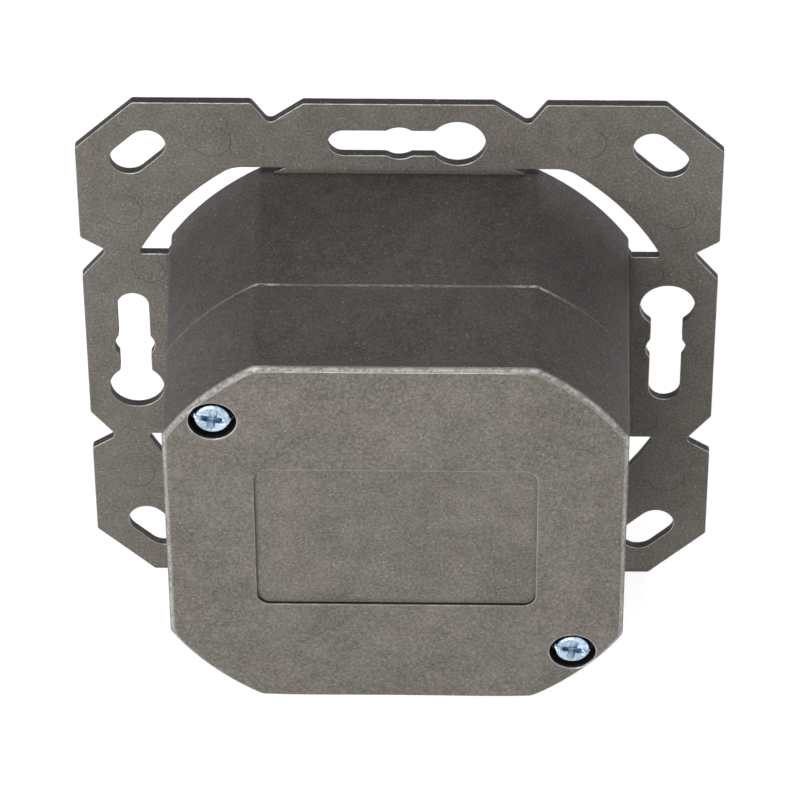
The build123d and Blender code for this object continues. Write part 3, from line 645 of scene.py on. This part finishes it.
def recess_level(u, v, shape):
    """Depth of a cross recess at points u, v from its centre.

    Along each arm the floor falls from the arm's end to the centre, and across it the walls slope in;
    the depth is the lesser of the two, and the deepest of both arms and the driver slot counts.
    """
    depth = np.zeros_like(u)
    for along, across in ((u, v), (v, u)):
        floor = (shape.recess_reach - np.abs(along)) / (0.42 * shape.recess_reach)
        wall = (shape.recess_half_width - np.abs(across)) / (0.3 * shape.recess_half_width)
        arm = shape.recess_depth * np.clip(np.minimum(floor, wall), 0, 1)
        depth = np.maximum(depth, arm)
    slot = shape.slot_depth * (np.abs(v) < shape.slot_half_width)
    return np.maximum(depth, slot)


def cross_screw(x, z, seat, top, tip, head_radius, shank_radius, shape):
    """Cross-recess screw along Y, as one closed profile of (radius, depth) carried round its axis.

    The head's face is moved down by the recess, and the shank's radius rises and falls with the
    distance along it plus the turn, which makes the thread.
    """
    turn = np.linspace(0, 2 * np.pi, 144, endpoint=False)[None, :]
    rim = shape.rim_radius
    face = np.linspace(0.0, head_radius - rim, 44)
    bend = np.linspace(0, np.pi / 2, 7)[1:]
    radius = np.concatenate([
        face, head_radius - rim + rim * np.sin(bend), [head_radius, head_radius, shank_radius]])
    level = np.concatenate([
        np.full(face.size, top), top - rim + rim * np.cos(bend), [(seat + top - rim) / 2, seat, seat]])
    run = np.linspace(seat, tip, 150)[1:]
    end = np.clip((run - tip) / (2 * shape.thread_pitch), 0, 1)
    radius = np.concatenate([radius, shank_radius * (0.35 + 0.65 * end), [0.0]])[:, None]
    level = np.concatenate([level, run, [tip]])[:, None]
    phase = level / shape.thread_pitch + turn / (2 * np.pi)
    ridge = np.abs((phase % 1.0) - 0.5) * 2
    threaded = (level < seat - shape.thread_pitch) & (radius > 0)
    radius = np.where(threaded, radius - shape.thread_depth * (1 - ridge), radius + 0 * turn)
    radius = np.clip(radius, 0, None)
    spin = turn - shape.recess_turn
    sink = recess_level(radius * np.cos(spin), radius * np.sin(spin), shape)
    depth = np.where(level > seat, np.minimum(level, top - sink), level)
    points = np.stack([x + radius * np.cos(turn), depth, z + radius * np.sin(turn)], axis=-1)
    return points.reshape(-1, 3), grid_faces(level.shape[0], turn.size, True)[:, ::-1]


# Operators


def cover_screw_places():
    """X and Z of the two cover screws, read from the ends of their CAD node."""
    low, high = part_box("cover_screws")
    corners = np.array([v.co[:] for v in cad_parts["cover_screws"].data.vertices])
    places = []
    for chosen in (corners[corners[:, 0] > 0], corners[corners[:, 0] < 0]):
        middle = (chosen.min(axis=0) + chosen.max(axis=0)) / 2
        places.append((middle[0], middle[2]))
    return places, low.y, high.y


def dress(nodes, material):
    """Gives the named CAD nodes one material."""
    for name in nodes:
        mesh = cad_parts[name].data
        mesh.materials.clear()
        mesh.materials.append(material)


class OUTLET_OT_effects(bpy.types.Operator):
    """Build the shader groups that the materials share"""

    bl_idname = "outlet.effects"
    bl_label = "Surface effects"

    def execute(self, context):
        build_edge_group()
        build_rim_highlight_group()
        build_wall_shade_group()
        build_grain_group()
        build_skin_group()
        return {"FINISHED"}


class OUTLET_OT_castings(bpy.types.Operator):
    """Give the frame with its front shell, and the rear cover, their cast skin"""

    bl_idname = "outlet.castings"
    bl_label = "Castings"

    def execute(self, context):
        finish = context.scene.outlet_casting
        frame_skin = cast_zinc(
            "Cast zinc, frame", finish.frame_colour, finish, everywhere, 0.9, finish.edge_width)
        cover_skin = cast_zinc(
            "Cast zinc, cover", finish.cover_colour, finish, wear_and_highlight_outside_panel, 0.55,
            finish.cover_edge_width)
        dress(["front_housing"], frame_skin)
        dress(["rear_cover"], cover_skin)
        return {"FINISHED"}


class OUTLET_OT_ejector_marks(bpy.types.Operator):
    """Add the faint rings of the mould's ejector pins to the frame"""

    bl_idname = "outlet.ejector_marks"
    bl_label = "Ejector marks"

    def execute(self, context):
        marks = context.scene.outlet_marks
        parts = []
        spots = [
            (30.6, 20.1, marks.wide_radius), (20.5, 30.1, marks.wide_radius),
            (27.8, 11.1, marks.narrow_radius)]
        for x_way in (-1, 1):
            for z_way in (-1, 1):
                for x, z, radius in spots:
                    parts.append(ring_mark(
                        x_way * x * MM, z_way * z * MM, radius, marks.ring_width, marks.ring_height,
                        marks.pressed_side))
        finish = context.scene.outlet_casting
        # Painted shade: the rings are coloured darker than the frame so that they show as dark lines.
        shade = tuple(0.66 * part for part in finish.frame_colour)
        skin = cast_zinc("Cast zinc, marks", shade, finish, nowhere, 1.0, finish.edge_width)
        mesh_piece("ejector_marks", parts, skin)
        return {"FINISHED"}


class OUTLET_OT_cover_screws(bpy.types.Operator):
    """Build the two cover screws with their sloping cross recess and their thread"""

    bl_idname = "outlet.cover_screws"
    bl_label = "Cover screws"

    def execute(self, context):
        shape = context.scene.outlet_screw
        # The plating gets painted highlight on its edges, in a pale edge colour, and painted shade in its
        # hollows.
        plating = plain_finish(
            "Blue zinc plating", tuple(shape.colour), 0.00035, 1.6, 0.22, metallic=1.0, bump=0.9,
            edge=0.00008, wear_and_highlight_colour=(0.86, 0.92, 0.97), hollow_shade=0.9)
        dress(["cover_screws", "board_screws", "clamp_screws"], plating)
        places, tip, top = cover_screw_places()
        parts = []
        for x, z in places:
            parts.append(cross_screw(
                x, z, top - SCREW_HEAD_HEIGHT, top + shape.head_rise, tip, SCREW_HEAD_RADIUS,
                SCREW_SHANK_RADIUS, shape))
        piece = mesh_piece("cover_screws_detailed", parts, plating)
        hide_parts("cover_screws")
        return {"FINISHED"}


class OUTLET_OT_jacks(bpy.types.Operator):
    """Finish the two jacks: black mouldings, nickel-plated shields and gold-plated contacts"""

    bl_idname = "outlet.jacks"
    bl_label = "Jacks"

    def execute(self, context):
        plastic = plain_finish("Black moulding", (0.022, 0.022, 0.024), 0.0002, 0.5, 0.42, bump=0.35)
        nickel = plain_finish(
            "Nickel-plated sheet", (0.60, 0.58, 0.54), 0.0004, 0.18, 0.30, metallic=1.0,
            stretch=(1, 6, 6), bump=0.2)
        gold = plain_finish("Gold plating", (0.83, 0.60, 0.24), 0.0003, 0.2, 0.24, metallic=1.0, bump=0.1,
                            edge=0.00004)
        for side in ("left", "right"):
            dress([f"{side}_jack_housing", f"{side}_jack_insert"], plastic)
            dress([f"{side}_jack_shield"], nickel)
            dress([f"{side}_jack_contacts"], gold)
        return {"FINISHED"}


class OUTLET_OT_inner_parts(bpy.types.Operator):
    """Finish what the rear cover hides: board, wire blocks, clamp and film"""

    bl_idname = "outlet.inner_parts"
    bl_label = "Inner parts"

    def execute(self, context):
        board = plain_finish("Green laminate", (0.03, 0.20, 0.08), 0.0008, 0.3, 0.35, bump=0.15)
        white = plain_finish("White moulding", (0.80, 0.80, 0.77), 0.0003, 0.08, 0.42, bump=0.2)
        tin = plain_finish(
            "Tinned bronze", (0.70, 0.70, 0.68), 0.0003, 0.2, 0.34, metallic=1.0, edge=0.00005)
        steel = plain_finish(
            "Clamp steel", (0.52, 0.53, 0.54), 0.0004, 0.25, 0.38, metallic=1.0, stretch=(1, 8, 1))
        film = plain_finish("Satin film", (0.78, 0.76, 0.66), 0.0006, 0.06, 0.30, bump=0.1, edge=0.00005)
        dress(["circuit_board"], board)
        dress(["cable_clamp"], steel)
        dress(["insulating_film"], film)
        for side in ("left", "right"):
            dress([f"{side}_idc_block"], white)
            dress([f"{side}_idc_contacts"], tin)
        return {"FINISHED"}


class OUTLET_OT_studio(bpy.types.Operator):
    """Set the pale floor, the soft lights and the camera at the photograph's angle"""

    bl_idname = "outlet.studio"
    bl_label = "Studio"

    def execute(self, context):
        studio = context.scene.outlet_studio
        build_floor(studio)
        build_world(studio)
        target = Vector(studio.target)
        for name, spot, power in (
                ("Key lamp", studio.key_place, studio.key_power),
                ("Fill lamp", studio.fill_place, studio.fill_power)):
            add_lamp(name, target + Vector(spot), target, studio.lamp_size, power)
        build_camera(studio)
        context.scene.view_settings.view_transform = "Standard"
        return {"FINISHED"}


def build_floor(studio):
    """Wide flat floor just below the outlet, which glows only where a camera or mirror ray meets it."""
    level = CAD_BOX[0].z - studio.floor_gap
    corners = ((-1, -1), (1, -1), (1, 1), (-1, 1))
    mesh = bpy.data.meshes.new("floor")
    mesh.from_pydata([(x * FLOOR_REACH, y * FLOOR_REACH, level) for x, y in corners], [], [(0, 1, 2, 3)])
    floor = bpy.data.objects.new("floor", mesh)
    bpy.context.scene.collection.objects.link(floor)
    material, tree, shader = start_material("Pale floor")
    shader.inputs["Base Color"].default_value = (*studio.floor_colour, 1.0)
    shader.inputs["Roughness"].default_value = 0.9
    glow = place(tree, "ShaderNodeEmission", {"Color": (1.0, 1.0, 1.0)})
    feed(tree, glow.inputs["Strength"], product(tree, seen_ray(tree), studio.floor_glow))
    mixed = place(tree, "ShaderNodeAddShader")
    feed(tree, mixed.inputs[0], shader.outputs["BSDF"])
    feed(tree, mixed.inputs[1], glow.outputs["Emission"])
    output = next(n for n in tree.nodes if n.type == "OUTPUT_MATERIAL")
    feed(tree, output.inputs["Surface"], mixed.outputs[0])
    mesh.materials.append(material)


def seen_ray(tree):
    """1 for rays from the camera and for those that a surface mirrors or lets through."""
    path = place(tree, "ShaderNodeLightPath")
    mirrored = maths(tree, "MAXIMUM", path.outputs["Is Camera Ray"], path.outputs["Is Glossy Ray"])
    return maths(tree, "MAXIMUM", mirrored, path.outputs["Is Transmission Ray"])


def build_world(studio):
    """Even soft light, white where the camera or a mirror sees it."""
    world = bpy.data.worlds.new("Soft studio")
    world.use_nodes = True
    tree = world.node_tree
    tree.nodes.clear()
    light = place(tree, "ShaderNodeBackground", {"Color": (1.0, 1.0, 1.0), "Strength": studio.ambient})
    backdrop = place(tree, "ShaderNodeBackground", {"Color": (1.0, 1.0, 1.0), "Strength": 1.0})
    mixed = place(tree, "ShaderNodeMixShader")
    feed(tree, mixed.inputs[0], seen_ray(tree))
    feed(tree, mixed.inputs[1], light.outputs[0])
    feed(tree, mixed.inputs[2], backdrop.outputs[0])
    output = place(tree, "ShaderNodeOutputWorld")
    feed(tree, output.inputs["Surface"], mixed.outputs[0])
    bpy.context.scene.world = world


def add_lamp(name, spot, target, size, power):
    """Square area lamp that faces the target."""
    light = bpy.data.lights.new(name, "AREA")
    light.shape = "SQUARE"
    light.size = size
    light.energy = power
    lamp = bpy.data.objects.new(name, light)
    facing = (target - spot).to_track_quat("-Z", "Y").to_matrix().to_4x4()
    lamp.matrix_world = Matrix.Translation(spot) @ facing
    bpy.context.scene.collection.objects.link(lamp)


def build_camera(studio):
    """Camera from its azimuth, elevation, roll and distance round the target."""
    turn, lift = studio.azimuth, studio.elevation
    back = Vector((-math.sin(turn) * math.cos(lift), math.cos(turn) * math.cos(lift), math.sin(lift)))
    right = Vector((0, 0, 1)).cross(back).normalized()
    up = back.cross(right)
    cos, sin = math.cos(studio.roll), math.sin(studio.roll)
    level_right = right * cos + up * sin
    level_up = up * cos - right * sin
    data = bpy.data.cameras.new("Camera")
    data.sensor_width = 36.0
    data.lens = studio.focal_pixels * data.sensor_width / IMAGE_SIZE
    data.clip_start = 0.01
    camera = bpy.data.objects.new("Camera", data)
    turned = Matrix((level_right, level_up, back)).transposed().to_4x4()
    camera.matrix_world = Matrix.Translation(Vector(studio.target) + back * studio.distance) @ turned
    bpy.context.scene.collection.objects.link(camera)
    bpy.context.scene.camera = camera


class OUTLET_PT_panel(bpy.types.Panel):
    """Sizes, colours and buttons of the outlet"""

    bl_idname = "OUTLET_PT_panel"
    bl_label = "Network outlet"
    bl_space_type = "VIEW_3D"
    bl_region_type = "UI"
    bl_category = "Outlet"

    def draw(self, context):
        for group_name in GROUPS:
            settings = getattr(context.scene, group_name)
            box = self.layout.box()
            for name in settings.__annotations__:
                box.prop(settings, name)
        for step in STEPS:
            self.layout.operator(step.bl_idname)


GROUPS = {
    "outlet_casting": CastingFinish,
    "outlet_marks": EjectorMarks,
    "outlet_screw": ScrewShape,
    "outlet_studio": StudioSetting,
}
STEPS = (
    OUTLET_OT_effects,
    OUTLET_OT_castings,
    OUTLET_OT_ejector_marks,
    OUTLET_OT_cover_screws,
    OUTLET_OT_jacks,
    OUTLET_OT_inner_parts,
    OUTLET_OT_studio,
)


def register():
    """Registers the settings, the operators and the panel."""
    for name, kind in GROUPS.items():
        bpy.utils.register_class(kind)
        setattr(bpy.types.Scene, name, PointerProperty(type=kind))
    for kind in (*STEPS, OUTLET_PT_panel):
        bpy.utils.register_class(kind)


def unregister():
    """Takes them all out again."""
    for kind in reversed((*STEPS, OUTLET_PT_panel)):
        bpy.utils.unregister_class(kind)
    for name, kind in GROUPS.items():
        delattr(bpy.types.Scene, name)
        bpy.utils.unregister_class(kind)


def main():
    """Runs every step in order."""
    register()
    bpy.ops.outlet.effects()
    bpy.ops.outlet.castings()
    bpy.ops.outlet.ejector_marks()
    bpy.ops.outlet.cover_screws()
    bpy.ops.outlet.jacks()
    bpy.ops.outlet.inner_parts()
    bpy.ops.outlet.studio()
    bpy.context.view_layer.update()


if __name__ == "__main__":
    main()
